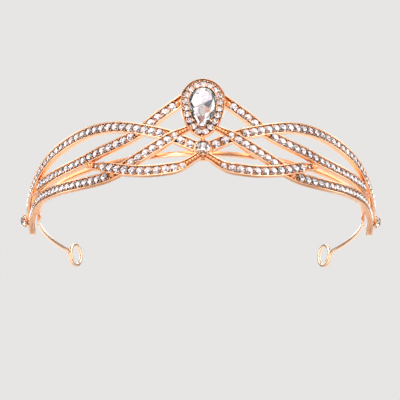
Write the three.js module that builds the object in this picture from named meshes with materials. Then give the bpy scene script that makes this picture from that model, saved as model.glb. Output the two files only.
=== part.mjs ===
// Bridal tiara: a U of gold-tone wire that carries woven bands of channel-set rhinestones, a pear-shaped
// jewel at the centre front and two sprung side arms that end in hairpin loops.
// Millimetres, +Z up, the front faces -Y, the tiara stands on its lower bands and on its two loops.
import * as THREE from 'three';

// ---- driving dimensions ----
const HEAD_RADIUS = 65.9;          // centre line of the head wire
const WIRE = { thick: 1.2, tall: 2 };
const WIRE_FRONT_Z = 9.5;          // height of the head wire at the centre front
const WIRE_FALL = 0.0332;          // fall of the wire towards the back, mm per mm
const WIRE_END_DEG = 88;           // the head wire stops here, measured from the centre front

const BAND_RADIUS = 69.3;          // mid surface of the woven bands
const BAND = { wide: 4.3, thick: 2.2, wall: 0.7, floor: 0.1 };
const LAP = { underTop: -0.62, underFloor: -0.74, overBottom: -0.32, side: 0.22, step: 0.18 };

const STONE = { pitch: 3.1, wide: 2.2, low: 0.4, high: 1.35, table: 1.4 };

const ARM = { thick: 1.1, tall: 1.4, radius: 66.5, loopDeg: 121.5, drop: 0.9, lapDrop: 2 };
const LAP_RADIUS = 65.9;           // centre line of the arm where it lies under the wire
const LOOP = { radius: 4.75, inner: 3.5, forward: 6.6, height: 5.25, thick: 1.0, headingDeg: 118 };

const PEAR = { z: 28.8, wide: 8.5, up: 9.2, down: 15.3, back: 68.4 };
const CENTRE_STONE_Z = 9.7;
const SIDE_STONE = { deg: 91, z: 6.5, back: 71.05 };

// Band centre lines as [degrees from the centre front, height, shift off the mid surface].
const BAND_LINES = {
  arc: [
    [3.6, 11.7, 0], [6, 13.1, 0], [9.5, 15.2, 0], [13, 16.8, 0], [17.5, 18.5, 0], [22.5, 20.3, 0],
    [28.5, 22, 0], [34.5, 22.7, 0], [41, 22.4, 0], [50, 20.9, 0], [58, 19.1, 0], [65, 16.7, 0],
    [71, 14.2, 0.1], [75.5, 12.5, 0.2], [79.5, 11, 0.3], [84.5, 9.4, 0.3], [91, 7.6, 0.3],
  ],
  shoulder: [
    [8.8, 27.7, 0], [11, 25.9, 0], [15, 22.55, 0], [18, 19.8, 0], [21, 17.7, 0], [24, 16.2, 0],
    [29, 14.4, 0], [34, 13.2, 0], [40, 11.6, 0], [46, 10.8, 0], [53, 10.5, 0], [60, 10.4, 0],
    [66, 10.6, 0], [71, 11.1, 0],
  ],
  cross: [
    [5.4, 17.5, 0], [8.8, 15.6, 0], [11.2, 13.9, 0], [14.2, 11.9, 0], [19, 8.8, 0], [23, 6.3, 0],
    [27, 3.9, 0], [31.5, 2.5, 0], [36, 2.2, 0], [42, 2.5, 0], [50, 3.5, 0], [60, 4.8, -0.3],
    [67, 5.7, -0.7], [72, 5.5, -0.7], [77, 4.6, -0.7], [82, 3.8, -0.7], [87, 3, -0.7], [92, 2.5, -0.7],
  ],
  lower: [
    [3.4, 5.5, 0], [5.5, 3.9, 0], [8, 2.8, 0], [12, 2.3, 0], [16, 2.2, 0], [19.5, 2.6, 0],
    [24, 3.6, 0], [28, 5, 0], [32, 6.5, 0], [35, 7.7, 0],
  ],
};
const TAPER = {
  arc: [0.8, 3, 1, 1],
  shoulder: [1, 1, 0.8, 5],
  cross: [0.55, 7, 0.8, 2],
  lower: [0.6, 8, 0.55, 3],
};
// Stretches of each band that hold stones, in degrees.
const STONE_ROWS = {
  arc_inner: ['arc', 4, 6.9],
  arc_outer: ['arc', 15.2, 88.5],
  shoulder_upper: ['shoulder', 9.4, 14.4],
  shoulder_lower: ['shoulder', 25.4, 59],
  cross_inner: ['cross', 9.5, 20.2],
  cross_outer: ['cross', 34.5, 91],
  lower_row: ['lower', 7.5, 33.6],
};

// ---- materials ----
const metal = (color, roughness) => new THREE.MeshStandardMaterial({ color, roughness, metalness: 1 });
const GOLD = metal(0xe9a77c, 0.24);
const WIRE_GOLD = metal(0xeeb48e, 0.28);
const CRYSTAL = new THREE.MeshStandardMaterial({ color: 0xe6e8ee, roughness: 0.05, metalness: 0.1 });
const SOLDER = metal(0xd9a07a, 0.4);

const root = new THREE.Group();
root.name = 'bridal_tiara';
// The origin is at the middle of the base: the lowest bands and the loops stand on z = 0.
root.position.set(0, 13.686, -0.045);

function add(name, geometry, material) {
  const mesh = new THREE.Mesh(geometry, material.clone());
  mesh.name = name;
  root.add(mesh);
  return mesh;
}

// ---- a closed body through a list of rings ----
function capTriangles(outline) {
  const area = Math.sign(THREE.ShapeUtils.area(outline));
  return THREE.ShapeUtils.triangulateShape(outline, []).map(([a, b, c]) => {
    const turn = THREE.ShapeUtils.area([outline[a], outline[b], outline[c]]);
    return turn * area > 0 ? [a, b, c] : [a, c, b];
  });
}

function signedVolume(points, index) {
  let sum = 0;
  for (let i = 0; i < index.length; i += 3) {
    const [a, b, c] = [points[index[i]], points[index[i + 1]], points[index[i + 2]]];
    sum += a.dot(new THREE.Vector3().crossVectors(b, c)) / 6;
  }
  return sum;
}

function loft(rings, outlines, closed = false) {
  const n = rings[0].length;
  const points = rings.flat();
  const index = [];
  const steps = closed ? rings.length : rings.length - 1;
  for (let i = 0; i < steps; i += 1) {
    const a = i * n;
    const b = ((i + 1) % rings.length) * n;
    for (let j = 0; j < n; j += 1) {
      const k = (j + 1) % n;
      index.push(a + j, b + j, b + k, a + j, b + k, a + k);
    }
  }
  if (!closed) {
    const end = (rings.length - 1) * n;
    capTriangles(outlines[0]).forEach(([a, b, c]) => index.push(a, b, c));
    capTriangles(outlines[1]).forEach(([a, b, c]) => index.push(end + a, end + c, end + b));
  }
  if (signedVolume(points, index) < 0) index.reverse();
  const geometry = new THREE.BufferGeometry();
  geometry.setAttribute('position', new THREE.Float32BufferAttribute(points.flatMap((p) => p.toArray()), 3));
  geometry.setIndex(index);
  geometry.computeVertexNormals();
  return geometry;
}

// ---- sweeping a flat section along stations; a station has a point and two section directions ----
function sweep(stations, closed = false) {
  const rings = stations.map(({ point, across, out, section }) =>
    section.map(([a, b]) => point.clone().addScaledVector(across, a).addScaledVector(out, b)));
  const flat = (station) => station.section.map(([a, b]) => new THREE.Vector2(a, b));
  return loft(rings, [flat(stations[0]), flat(stations[stations.length - 1])], closed);
}

const rectangle = (wide, low, high) => [
  [-wide / 2, low], [wide / 2, low], [wide / 2, high], [-wide / 2, high],
];

const radians = THREE.MathUtils.degToRad;

function onHead(degrees, radius, z, side) {
  const a = radians(degrees);
  return new THREE.Vector3(side * radius * Math.sin(a), -radius * Math.cos(a), z);
}

// ---- band centre lines ----
function bandLine(name) {
  const points = BAND_LINES[name].map(([deg, z, shift]) =>
    new THREE.Vector3(radians(deg) * BAND_RADIUS, z, shift));
  const curve = new THREE.CatmullRomCurve3(points, false, 'centripetal');
  curve.arcLengthDivisions = 800;
  const length = curve.getLength();
  const at = (s) => curve.getPointAt(THREE.MathUtils.clamp(s / length, 0, 1));
  const lengthAt = (deg) => {
    let s = 0;
    while (s < length && at(s).x < radians(deg) * BAND_RADIUS) s += 0.05;
    return s;
  };
  return { name, length, at, lengthAt };
}

function bandFrame(line, s, side) {
  const place = (t) => {
    const p = line.at(t);
    return onHead(THREE.MathUtils.radToDeg(p.x / BAND_RADIUS), BAND_RADIUS + p.z, p.y, side);
  };
  const point = place(s);
  const forward = place(Math.min(s + 0.4, line.length)).sub(place(Math.max(s - 0.4, 0))).normalize();
  const radial = new THREE.Vector3(point.x, point.y, 0).normalize();
  const out = radial.addScaledVector(forward, -radial.dot(forward)).normalize();
  const across = new THREE.Vector3().crossVectors(forward, out).normalize();
  return { point, across, out };
}

// Stretches of one band that another band's strip covers.
function crossings(line, other) {
  const samples = [];
  for (let s = 0; s <= other.length; s += 0.25) samples.push(other.at(s));
  const ranges = [];
  for (let s = 0; s <= line.length; s += 0.1) {
    const p = line.at(s);
    const q = line.at(Math.min(s + 0.2, line.length)).sub(line.at(Math.max(s - 0.2, 0))).normalize();
    let nearest = Infinity;
    for (const edge of [-0.5, -0.25, 0, 0.25, 0.5]) {
      const x = p.x - q.y * edge * BAND.wide;
      const y = p.y + q.x * edge * BAND.wide;
      for (const r of samples) nearest = Math.min(nearest, Math.hypot(r.x - x, r.y - y));
    }
    if (nearest < BAND.wide / 2 + LAP.side) {
      const open = ranges[ranges.length - 1];
      if (open && s - open[1] < 1) open[1] = s;
      else ranges.push([s, s]);
    }
  }
  for (const range of ranges) {
    if (range[0] < 0.6) range[0] = 0;
    if (line.length - range[1] < 0.6) range[1] = line.length;
  }
  return ranges;
}

const LINES = Object.fromEntries(Object.keys(BAND_LINES).map((name) => [name, bandLine(name)]));
// Over and under at each crossing, as half-lap joints.
const LAPS = { arc: [], shoulder: [], cross: [], lower: [] };
for (const [over, under] of [['cross', 'arc'], ['arc', 'shoulder'], ['lower', 'cross']]) {
  crossings(LINES[over], LINES[under]).forEach((range) => LAPS[over].push({ kind: 'over', range }));
  crossings(LINES[under], LINES[over]).forEach((range) => LAPS[under].push({ kind: 'under', range }));
}

function bandWidth(line, s) {
  const [first, firstLength, last, lastLength] = TAPER[line.name];
  const start = THREE.MathUtils.lerp(first, 1, Math.min(s / firstLength, 1));
  const end = THREE.MathUtils.lerp(last, 1, Math.min((line.length - s) / lastLength, 1));
  return BAND.wide * Math.min(start, end);
}

function channelSection(wide, kind) {
  const half = wide / 2;
  const inner = half - BAND.wall * Math.min(1, wide / BAND.wide + 0.1);
  const bottom = kind === 'over' ? LAP.overBottom : -BAND.thick / 2;
  const top = kind === 'under' ? LAP.underTop : BAND.thick / 2;
  const floor = kind === 'under' ? LAP.underFloor : BAND.floor;
  return [
    [-half, bottom], [half, bottom], [half, top], [inner, top],
    [inner, floor], [-inner, floor], [-inner, top], [-half, top],
  ];
}

function band(name, side) {
  const line = LINES[name];
  const stops = [];
  const count = Math.round(line.length / 3.2);
  for (let i = 0; i <= count; i += 1) stops.push((line.length * i) / count);
  for (const { range } of LAPS[name]) stops.push(range[0] - LAP.step, ...range, range[1] + LAP.step);
  const inLap = (s) => LAPS[name].find(({ range }) => s > range[0] - 1e-6 && s < range[1] + 1e-6);
  const nearStep = (s) => LAPS[name].some(({ range }) => range.some((r) => Math.abs(s - r) < 0.7));
  const kept = stops.filter((s, i) => (i > count || i === 0 || i === count || !nearStep(s)));
  const sorted = [...new Set(kept.map((s) => THREE.MathUtils.clamp(s, 0, line.length)))]
    .sort((a, b) => a - b);
  const stations = sorted.map((s) => ({
    ...bandFrame(line, s, side),
    section: channelSection(bandWidth(line, s), inLap(s)?.kind),
  }));
  return sweep(stations);
}

// ---- a row of stones joined by a fine bar, one closed body ----
function stoneSections(count, wide) {
  const list = [{ t: 0, section: rectangle(0.7, STONE.low, STONE.low + 0.4) }];
  const stone = [
    [-wide / 2, STONE.low], [wide / 2, STONE.low],
    [STONE.table / 2, STONE.high], [-STONE.table / 2, STONE.high],
  ];
  for (let i = 0; i < count; i += 1) {
    list.push({ t: (i + 0.14) / count, section: stone });
    list.push({ t: (i + 0.86) / count, section: stone });
    list.push({ t: (i + 1) / count, section: rectangle(0.7, STONE.low, STONE.low + 0.4) });
  }
  return list;
}

function stoneRow(key, side) {
  const [name, fromDeg, toDeg] = STONE_ROWS[key];
  const line = LINES[name];
  const from = line.lengthAt(fromDeg);
  const length = line.lengthAt(toDeg) - from;
  const count = Math.max(1, Math.round(length / STONE.pitch));
  return sweep(stoneSections(count, STONE.wide).map(({ t, section }) => ({
    ...bandFrame(line, from + length * t, side),
    section,
  })));
}

// ---- head wire ----
const wireZ = (y) => WIRE_FRONT_Z - WIRE_FALL * (y + HEAD_RADIUS);

function wireStation(degrees, radius, side, section) {
  const point = onHead(degrees, radius, 0, side);
  point.z = wireZ(point.y);
  return {
    point,
    across: new THREE.Vector3(0, 0, 1),
    out: new THREE.Vector3(point.x, point.y, 0).normalize(),
    section,
  };
}

function headWire() {
  const steps = 45;
  const section = rectangle(WIRE.tall, -WIRE.thick / 2, WIRE.thick / 2);
  const stations = [];
  for (let i = 0; i <= steps; i += 1) {
    stations.push(wireStation(WIRE_END_DEG * ((2 * i) / steps - 1), HEAD_RADIUS, 1, section));
  }
  return sweep(stations);
}

// ---- side arm with its hairpin loop ----
function sideArm(side) {
  const section = rectangle(ARM.tall, -ARM.thick / 2, ARM.thick / 2);
  const stations = [];
  const jog = THREE.MathUtils.smoothstep;
  for (const deg of [86, 88.4, 90, 91.5, 93, 96, 99, 102, 105, 108, 111, 114, 117, 119.5]) {
    const swing = jog(deg, 88.4, 95);
    const radius = THREE.MathUtils.lerp(LAP_RADIUS, ARM.radius, swing);
    const station = wireStation(deg, radius, side, section);
    station.point.z -= THREE.MathUtils.lerp(ARM.lapDrop, ARM.drop, swing);
    stations.push(station);
  }
  // The loop lies in the upright plane along the arm's own direction.
  const start = onHead(ARM.loopDeg, ARM.radius, 0, side);
  start.z = wireZ(start.y) - ARM.drop;
  const along = onHead(LOOP.headingDeg + 90, 1, 0, side);
  const outward = onHead(LOOP.headingDeg, 1, 0, side);
  const path = [[0, start.z], [0.9, start.z - 0.05], [1.5, start.z - 0.45]];
  const turn = (deg) => {
    const ease = THREE.MathUtils.smoothstep(deg, 400, 525);
    const r = THREE.MathUtils.lerp(LOOP.radius, LOOP.inner, ease);
    return [LOOP.forward + r * Math.cos(radians(deg)), LOOP.height + r * Math.sin(radians(deg))];
  };
  for (let deg = 187.5; deg <= 607.5; deg += 15) path.push(turn(deg));
  path.forEach(([u, z], i) => {
    const before = path[Math.max(i - 1, 0)];
    const after = path[Math.min(i + 1, path.length - 1)];
    const slope = i === 0 ? [1, 0] : [after[0] - before[0], after[1] - before[1]];
    const size = Math.hypot(slope[0], slope[1]);
    const up = new THREE.Vector3(0, 0, slope[0] / size).addScaledVector(along, -slope[1] / size);
    const tall = i < 2 ? ARM.tall : THREE.MathUtils.lerp(ARM.tall, LOOP.thick, Math.min(1, (i - 1) / 2));
    const point = start.clone().addScaledVector(along, u);
    point.z = z;
    stations.push({
      point,
      across: up,
      out: outward,
      section: rectangle(tall, -ARM.thick / 2, ARM.thick / 2),
    });
  });
  return sweep(stations);
}

// ---- round settings: rings of [radius, depth] about an axis that points out of the tiara ----
function turned(rings, segments, origin, axis, prong) {
  const up = new THREE.Vector3(0, 0, 1);
  const sideways = new THREE.Vector3().crossVectors(up, axis).normalize();
  const bodies = rings.map(([radius, depth, raised]) => {
    const ring = [];
    for (let i = 0; i < segments; i += 1) {
      const a = (2 * Math.PI * (i + 0.5)) / segments;
      const extra = raised && prong ? prong(i) : 0;
      ring.push(origin.clone()
        .addScaledVector(sideways, radius * Math.cos(a))
        .addScaledVector(up, radius * Math.sin(a))
        .addScaledVector(axis, depth + extra));
    }
    return ring;
  });
  const disc = bodies[0].map((_, i) => {
    const a = (2 * Math.PI * (i + 0.5)) / segments;
    return new THREE.Vector2(Math.cos(a), Math.sin(a));
  });
  return loft(bodies, [disc, disc]);
}

// ---- pear outline, optionally smaller; angle 0 is the top ----
function pearOutline(wide, up, down, count) {
  const points = [];
  for (let i = 0; i < count; i += 1) {
    const a = (2 * Math.PI * i) / count;
    const s = Math.sin(a);
    const c = Math.cos(a);
    const x = c >= 0 ? wide * s : wide * Math.sign(s) * Math.abs(s) ** 1.32;
    points.push([x, c >= 0 ? up * c : down * c]);
  }
  return points;
}

function pearLoft(rings, count) {
  const place = ([wide, up, down, depth]) => pearOutline(wide, up, down, count)
    .map(([x, z]) => new THREE.Vector3(x, -PEAR.back - depth, PEAR.z + z));
  const flat = ([wide, up, down]) => pearOutline(wide, up, down, count)
    .map(([x, z]) => new THREE.Vector2(x, z));
  return loft(rings.map(place), [flat(rings[0]), flat(rings[rings.length - 1])]);
}

// ---- centre front ----
add('head_wire', headWire(), WIRE_GOLD);

add('pear_setting', pearLoft([
  [7, 7.6, 12.8, 0], [PEAR.wide, PEAR.up, PEAR.down, 1.2], [PEAR.wide, PEAR.up, PEAR.down, 2.4],
  [8.2, 8.9, 14.8, 2.7], [7.8, 8.5, 14.1, 2.5], [7.7, 8.4, 13.9, 1.4], [5.4, 6.1, 11.3, 1.4],
  [5.4, 6.1, 11.3, 2.7], [5, 5.7, 10.8, 2.9], [5, 5.7, 10.8, 0.6],
], 36), GOLD);

add('pear_crystal', pearLoft([
  [2.4, 2.8, 5.3, 0.95], [4.7, 5.4, 10.4, 2.5], [4.7, 5.4, 10.4, 3], [2.9, 3.3, 6.4, 4.4],
], 24), CRYSTAL);

function haloRing() {
  const count = 19;
  const fine = pearOutline(6.55, 7.25, 12.6, 240).map(([x, z]) => new THREE.Vector3(x, z, 0));
  const curve = new THREE.CatmullRomCurve3(fine, true);
  curve.arcLengthDivisions = 2000;
  const stations = [];
  for (let i = 0; i < count; i += 1) {
    const sections = [[0, 0.7, 0.35, 0.7], [0.16, 1.7, 1.1, 1.15], [0.84, 1.7, 1.1, 1.15]];
    for (const [t, wide, table, high] of sections) {
      const u = (i + t) / count;
      const p = curve.getPointAt(u % 1);
      const q = curve.getTangentAt(u % 1);
      stations.push({
        point: new THREE.Vector3(p.x, -PEAR.back - 1.7, PEAR.z + p.y),
        across: new THREE.Vector3(-q.y, 0, q.x),
        out: new THREE.Vector3(0, -1, 0),
        section: [[-wide / 2, 0], [wide / 2, 0], [table / 2, high], [-table / 2, high]],
      });
    }
  }
  return sweep(stations, true);
}
add('halo_stones', haloRing(), CRYSTAL);

const link = new THREE.BoxGeometry(1.7, 1.6, 0.4);
add('neck_link', link, GOLD).position.set(0, -69.6, 13.2);

const FRONT = new THREE.Vector3(0, -1, 0);
const claws = (segments, count) => (i) => (i % (segments / count) < 2 ? 0.7 : 0);
add('centre_setting', turned(
  [[2, 0], [2.6, 0.5], [3.1, 2.4], [3.2, 4, true], [2.8, 4, true], [2.75, 2.2]],
  24, new THREE.Vector3(0, -66.8, CENTRE_STONE_Z), FRONT, claws(24, 6),
), GOLD);
add('centre_stone', turned(
  [[1.1, 2.6], [2.45, 4], [2.45, 4.4], [1.5, 5.4]],
  16, new THREE.Vector3(0, -66.8, CENTRE_STONE_Z), FRONT,
), CRYSTAL);

// ---- both sides ----
function solderPad(name, degrees, z, size, radius, side) {
  const mesh = add(name, new THREE.BoxGeometry(...size), SOLDER);
  mesh.position.copy(onHead(degrees, radius, z, side));
  mesh.rotation.z = side * radians(degrees);
}

for (const [prefix, side] of [['left', -1], ['right', 1]]) {
  for (const name of Object.keys(BAND_LINES)) {
    add(`${prefix}_${name}_band`, band(name, side), GOLD);
  }
  for (const key of Object.keys(STONE_ROWS)) {
    add(`${prefix}_stones_${key}`, stoneRow(key, side), CRYSTAL);
  }
  add(`${prefix}_arm`, sideArm(side), WIRE_GOLD);
  const seat = onHead(SIDE_STONE.deg, SIDE_STONE.back, SIDE_STONE.z, side);
  const outward = new THREE.Vector3(seat.x, seat.y, 0).normalize();
  add(`${prefix}_end_setting`, turned(
    [[2, 0], [2.4, 0.4], [2.9, 1.1], [3, 1.7, true], [2.65, 1.7, true], [2.6, 1.1]],
    18, seat, outward, claws(18, 6),
  ), GOLD);
  add(`${prefix}_end_stone`, turned(
    [[1.4, 1.4], [2.3, 1.8], [2.3, 2.05], [1.4, 2.5]], 12, seat, outward,
  ), CRYSTAL);
  solderPad(`${prefix}_inner_pad`, 16.2, 9.55, [2.4, 1.1, 1.2], 67.35, side);
  solderPad(`${prefix}_outer_pad`, 37.4, 9.2, [2.6, 1.1, 1.6], 67.35, side);
  solderPad(`${prefix}_end_pad`, 84.4, 7.6, [2.6, 1.2, 1.3], 67.45, side);
  solderPad(`${prefix}_lap_pad`, 86.9, 5.9, [1.8, 0.8, 1.4], 64.35, side);
}

export default root;
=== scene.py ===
# %% [markdown]
# # A bridal tiara, piece by piece
# The tiara is costume jewellery: woven channel bands cast in rose-gold metal and set with foil-backed crystals,
# a pear-shaped jewel at the centre front, a flat head wire behind the bands, and two springy side wires that end
# in hairpin loops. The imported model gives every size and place. Here each of its pieces is made again with the
# detail that the eye looks for: soft edges, cut facets, beads of metal between the stones, and real finishes.

# %% Load the frame
import math

import bpy
import numpy as np
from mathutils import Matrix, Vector


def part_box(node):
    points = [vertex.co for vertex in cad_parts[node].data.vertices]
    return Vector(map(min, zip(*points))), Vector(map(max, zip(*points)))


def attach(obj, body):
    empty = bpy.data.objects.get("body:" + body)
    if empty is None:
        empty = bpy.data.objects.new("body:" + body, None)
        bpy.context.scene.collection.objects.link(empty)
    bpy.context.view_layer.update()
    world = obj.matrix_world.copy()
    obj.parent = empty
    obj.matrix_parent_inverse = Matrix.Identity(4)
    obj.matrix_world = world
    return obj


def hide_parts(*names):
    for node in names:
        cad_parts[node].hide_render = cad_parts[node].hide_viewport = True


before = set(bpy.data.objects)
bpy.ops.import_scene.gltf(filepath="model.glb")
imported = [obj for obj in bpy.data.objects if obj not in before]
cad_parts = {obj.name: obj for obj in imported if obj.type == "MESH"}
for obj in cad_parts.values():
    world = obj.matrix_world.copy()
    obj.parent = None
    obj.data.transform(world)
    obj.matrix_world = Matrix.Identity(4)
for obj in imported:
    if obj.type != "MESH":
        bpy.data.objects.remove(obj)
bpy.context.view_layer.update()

# %% [markdown]
# ## Where things are
# All the bands lie on one upright round wall, as if wrapped round a jar. Its axis stands behind the centre
# setting, so the setting's box tells where the axis is. Sizes are in millimetres until a mesh is made.

# %% The shared axis
MM = 0.001
low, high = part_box("centre_setting")
AXIS_Y = high.y / MM + 66.8
CENTRE_Z = 9.7
BASE_Z = (low.z + high.z) / 2 / MM - CENTRE_Z
BAND_RADIUS = 69.3
HEAD_RADIUS = 65.9
print(f"axis of the head circle at y {AXIS_Y:.2f} mm, base at z {BASE_Z:.3f} mm")


def on_head(degrees, radius, z):
    """Points on the right-hand half of the head circle; degrees run back from the centre front."""
    a = np.radians(np.asarray(degrees, float))
    flat = np.broadcast_arrays(radius * np.sin(a), AXIS_Y - radius * np.cos(a), np.asarray(z, float) + BASE_Z)
    return np.stack(flat, -1)


# %% [markdown]
# ## Small tools for meshes
# A part is a list of points and a list of faces, with a number that says which finish each face takes. Parts
# are joined, mirrored to the other side, and then made into one Blender mesh. Working this way keeps every
# piece closed, and it shows how a mesh is really only points and faces.

# %% Parts
def part(points, faces, finish=0):
    points = np.asarray(points, float).reshape(-1, 3)
    return points, [tuple(f) for f in faces], [finish] * len(faces)


def join(parts):
    points, faces, finishes, start = [], [], [], 0
    for p, f, m in parts:
        points.append(p)
        faces += [tuple(i + start for i in face) for face in f]
        finishes += m
        start += len(p)
    return np.concatenate(points), faces, finishes


def mirrored(piece):
    points, faces, finishes = piece
    return points * np.array([-1.0, 1.0, 1.0]), [f[::-1] for f in faces], finishes


def facing_out(piece):
    """Turns a closed part's faces round if they face in."""
    points, faces, finishes = piece
    volume = 0.0
    for f in faces:
        for i in range(1, len(f) - 1):
            volume += np.dot(points[f[0]], np.cross(points[f[i]], points[f[i + 1]]))
    return piece if volume > 0 else (points, [f[::-1] for f in faces], finishes)


def skin(rings, closed=False, finish=0):
    """A closed body through rings of points: rings[i, j] is point j of ring i."""
    rings = np.asarray(rings, float)
    n, m = rings.shape[:2]
    faces = []
    for i in range(n if closed else n - 1):
        a, b = i * m, ((i + 1) % n) * m
        faces += [(a + j, a + (j + 1) % m, b + (j + 1) % m, b + j) for j in range(m)]
    if not closed:
        faces += [tuple(range(m))[::-1], tuple((n - 1) * m + j for j in range(m))]
    return facing_out(part(rings.reshape(-1, 3), faces, finish))


# %% Making a Blender piece
made = []


def piece(name, shape, materials, body, slot, nodes, sharp=38):
    """A mesh object from a part. It rides on a body and stands for the CAD nodes."""
    points, faces, finishes = shape
    mesh = bpy.data.meshes.new(name)
    mesh.from_pydata((points * MM).tolist(), [], faces)
    for material in materials:
        mesh.materials.append(material)
    mesh.polygons.foreach_set("material_index", finishes)
    mesh.polygons.foreach_set("use_smooth", [sharp > 0] * len(faces))
    mesh.update()
    if sharp > 0:
        mesh.set_sharp_from_angle(angle=math.radians(sharp))
    made_piece = bpy.data.objects.new(name, mesh)
    bpy.context.scene.collection.objects.link(made_piece)
    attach(made_piece, body)
    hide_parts(*nodes)
    made.append(name)
    return made_piece


# %% [markdown]
# ## Finishes
# Rose-gold plating is never one flat colour. A cast piece keeps a faint orange-peel skin from the mould, the polish
# leaves hair-fine scratches, and a random mottle shifts its colour. The colour is also painted lighter on sharp
# edges, as if rubbed, and darker and redder in the hollows: the dark in the hollows is painted shade, standing in for
# the shadow and dim red inter-reflections that fall there. That skin is one node group with its own inputs, used by
# the cast gold, the wire gold and the solder.

# %% Node helpers
def wire_up(tree, pairs):
    for source, target in pairs:
        tree.links.new(source, target)


def node(tree, kind, **values):
    made_node = tree.nodes.new(kind)
    for key, value in values.items():
        if hasattr(made_node, key):
            setattr(made_node, key, value)
        else:
            made_node.inputs[key.replace("_", " ")].default_value = value
    return made_node


def ramp(tree, stops):
    made_ramp = tree.nodes.new("ShaderNodeValToRGB")
    elements = made_ramp.color_ramp.elements
    while len(elements) < len(stops):
        elements.new(0.5)
    for element, (place, color) in zip(elements, stops):
        element.position = place
        element.color = color
    return made_ramp


# %% The plated-skin group
def plated_skin():
    group = bpy.data.node_groups.new("plated skin", "ShaderNodeTree")
    face = group.interface
    for name, value in (("Grain Size", 900.0), ("Scratch Size", 1400.0), ("Low Roughness", 0.12),
                        ("High Roughness", 0.3)):
        socket = face.new_socket(name=name, in_out="INPUT", socket_type="NodeSocketFloat")
        socket.default_value = value
    # The second colour is both the random mottle colour and the painted shade of the hollows.
    for name in ("Bright Color", "Mottle and Shade Color"):
        face.new_socket(name=name, in_out="INPUT", socket_type="NodeSocketColor")
    for name, kind in (("Color", "NodeSocketColor"), ("Roughness", "NodeSocketFloat"),
                       ("Height", "NodeSocketFloat")):
        face.new_socket(name=name, in_out="OUTPUT", socket_type=kind)
    inside, outside = node(group, "NodeGroupInput"), node(group, "NodeGroupOutput")
    place = node(group, "ShaderNodeTexCoord")
    grain = node(group, "ShaderNodeTexNoise", Detail=3.0, Roughness=0.55)
    cloud = node(group, "ShaderNodeTexNoise", Scale=160.0, Detail=2.0)
    stretch = node(group, "ShaderNodeMapping", Scale=(1.0, 1.0, 5.0))
    scratch = node(group, "ShaderNodeTexNoise", Detail=4.0, Roughness=0.7)
    edges = node(group, "ShaderNodeNewGeometry")
    # This pointiness ramp paints the hollows with the second colour, a painted shade, and leaves sharp edges lighter,
    # as if rubbed; the cloud noise adds random mottle.
    wear_and_hollow_shade = ramp(group, [(0.43, (0, 0, 0, 1)), (0.53, (1, 1, 1, 1))])
    blend = node(group, "ShaderNodeMath", operation="MULTIPLY_ADD")
    blend.inputs[1].default_value = 0.35
    shade = node(group, "ShaderNodeMix", data_type="RGBA")
    rough = node(group, "ShaderNodeMapRange")
    rough.inputs["From Min"].default_value = 0.3
    rough.inputs["From Max"].default_value = 0.7
    height = node(group, "ShaderNodeMath", operation="MULTIPLY_ADD")
    height.inputs[1].default_value = 0.3
    wire_up(group, [
        (place.outputs["Object"], grain.inputs["Vector"]), (inside.outputs["Grain Size"], grain.inputs["Scale"]),
        (place.outputs["Object"], cloud.inputs["Vector"]), (place.outputs["Object"], stretch.inputs["Vector"]),
        (stretch.outputs["Vector"], scratch.inputs["Vector"]),
        (inside.outputs["Scratch Size"], scratch.inputs["Scale"]),
        (edges.outputs["Pointiness"], wear_and_hollow_shade.inputs["Fac"]),
        (cloud.outputs["Fac"], blend.inputs[0]), (wear_and_hollow_shade.outputs["Color"], blend.inputs[2]),
        (blend.outputs["Value"], shade.inputs["Factor"]),
        (inside.outputs["Mottle and Shade Color"], shade.inputs[6]), (inside.outputs["Bright Color"], shade.inputs[7]),
        (shade.outputs[2], outside.inputs["Color"]),
        (scratch.outputs["Fac"], rough.inputs["Value"]),
        (inside.outputs["Low Roughness"], rough.inputs["To Min"]),
        (inside.outputs["High Roughness"], rough.inputs["To Max"]),
        (rough.outputs["Result"], outside.inputs["Roughness"]),
        (scratch.outputs["Fac"], height.inputs[0]), (grain.outputs["Fac"], height.inputs[2]),
        (height.outputs["Value"], outside.inputs["Height"]),
    ])
    return group


SKIN = plated_skin()


def gold(name, bright, deep, low_rough, high_rough, relief, grain=900.0):
    material = bpy.data.materials.new(name)
    material.use_nodes = True
    tree = material.node_tree
    surface = tree.nodes["Principled BSDF"]
    surface.inputs["Metallic"].default_value = 1.0
    skin_node = node(tree, "ShaderNodeGroup", node_tree=SKIN)
    skin_node.inputs["Grain Size"].default_value = grain
    skin_node.inputs["Low Roughness"].default_value = low_rough
    skin_node.inputs["High Roughness"].default_value = high_rough
    skin_node.inputs["Bright Color"].default_value = (*bright, 1)
    # deep is the mottle colour and also the painted shade of the hollows.
    skin_node.inputs["Mottle and Shade Color"].default_value = (*deep, 1)
    bump = node(tree, "ShaderNodeBump", Strength=relief, Distance=0.00004)
    wire_up(tree, [
        (skin_node.outputs["Color"], surface.inputs["Base Color"]),
        (skin_node.outputs["Roughness"], surface.inputs["Roughness"]),
        (skin_node.outputs["Height"], bump.inputs["Height"]),
        (bump.outputs["Normal"], surface.inputs["Normal"]),
    ])
    return material


# Each gold's second colour is its random mottle and the painted shade in its hollows.
CAST_GOLD = gold("cast rose gold", (0.95, 0.58, 0.36), (0.56, 0.22, 0.07), 0.10, 0.26, 0.35)
WIRE_GOLD = gold("drawn rose gold wire", (0.95, 0.62, 0.42), (0.62, 0.28, 0.13), 0.14, 0.3, 0.2, 1500.0)
SOLDER = gold("plated solder", (0.90, 0.56, 0.38), (0.74, 0.38, 0.22), 0.25, 0.45, 0.8, 700.0)
print("metal finishes:", CAST_GOLD.name, "/", WIRE_GOLD.name, "/", SOLDER.name)
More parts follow.
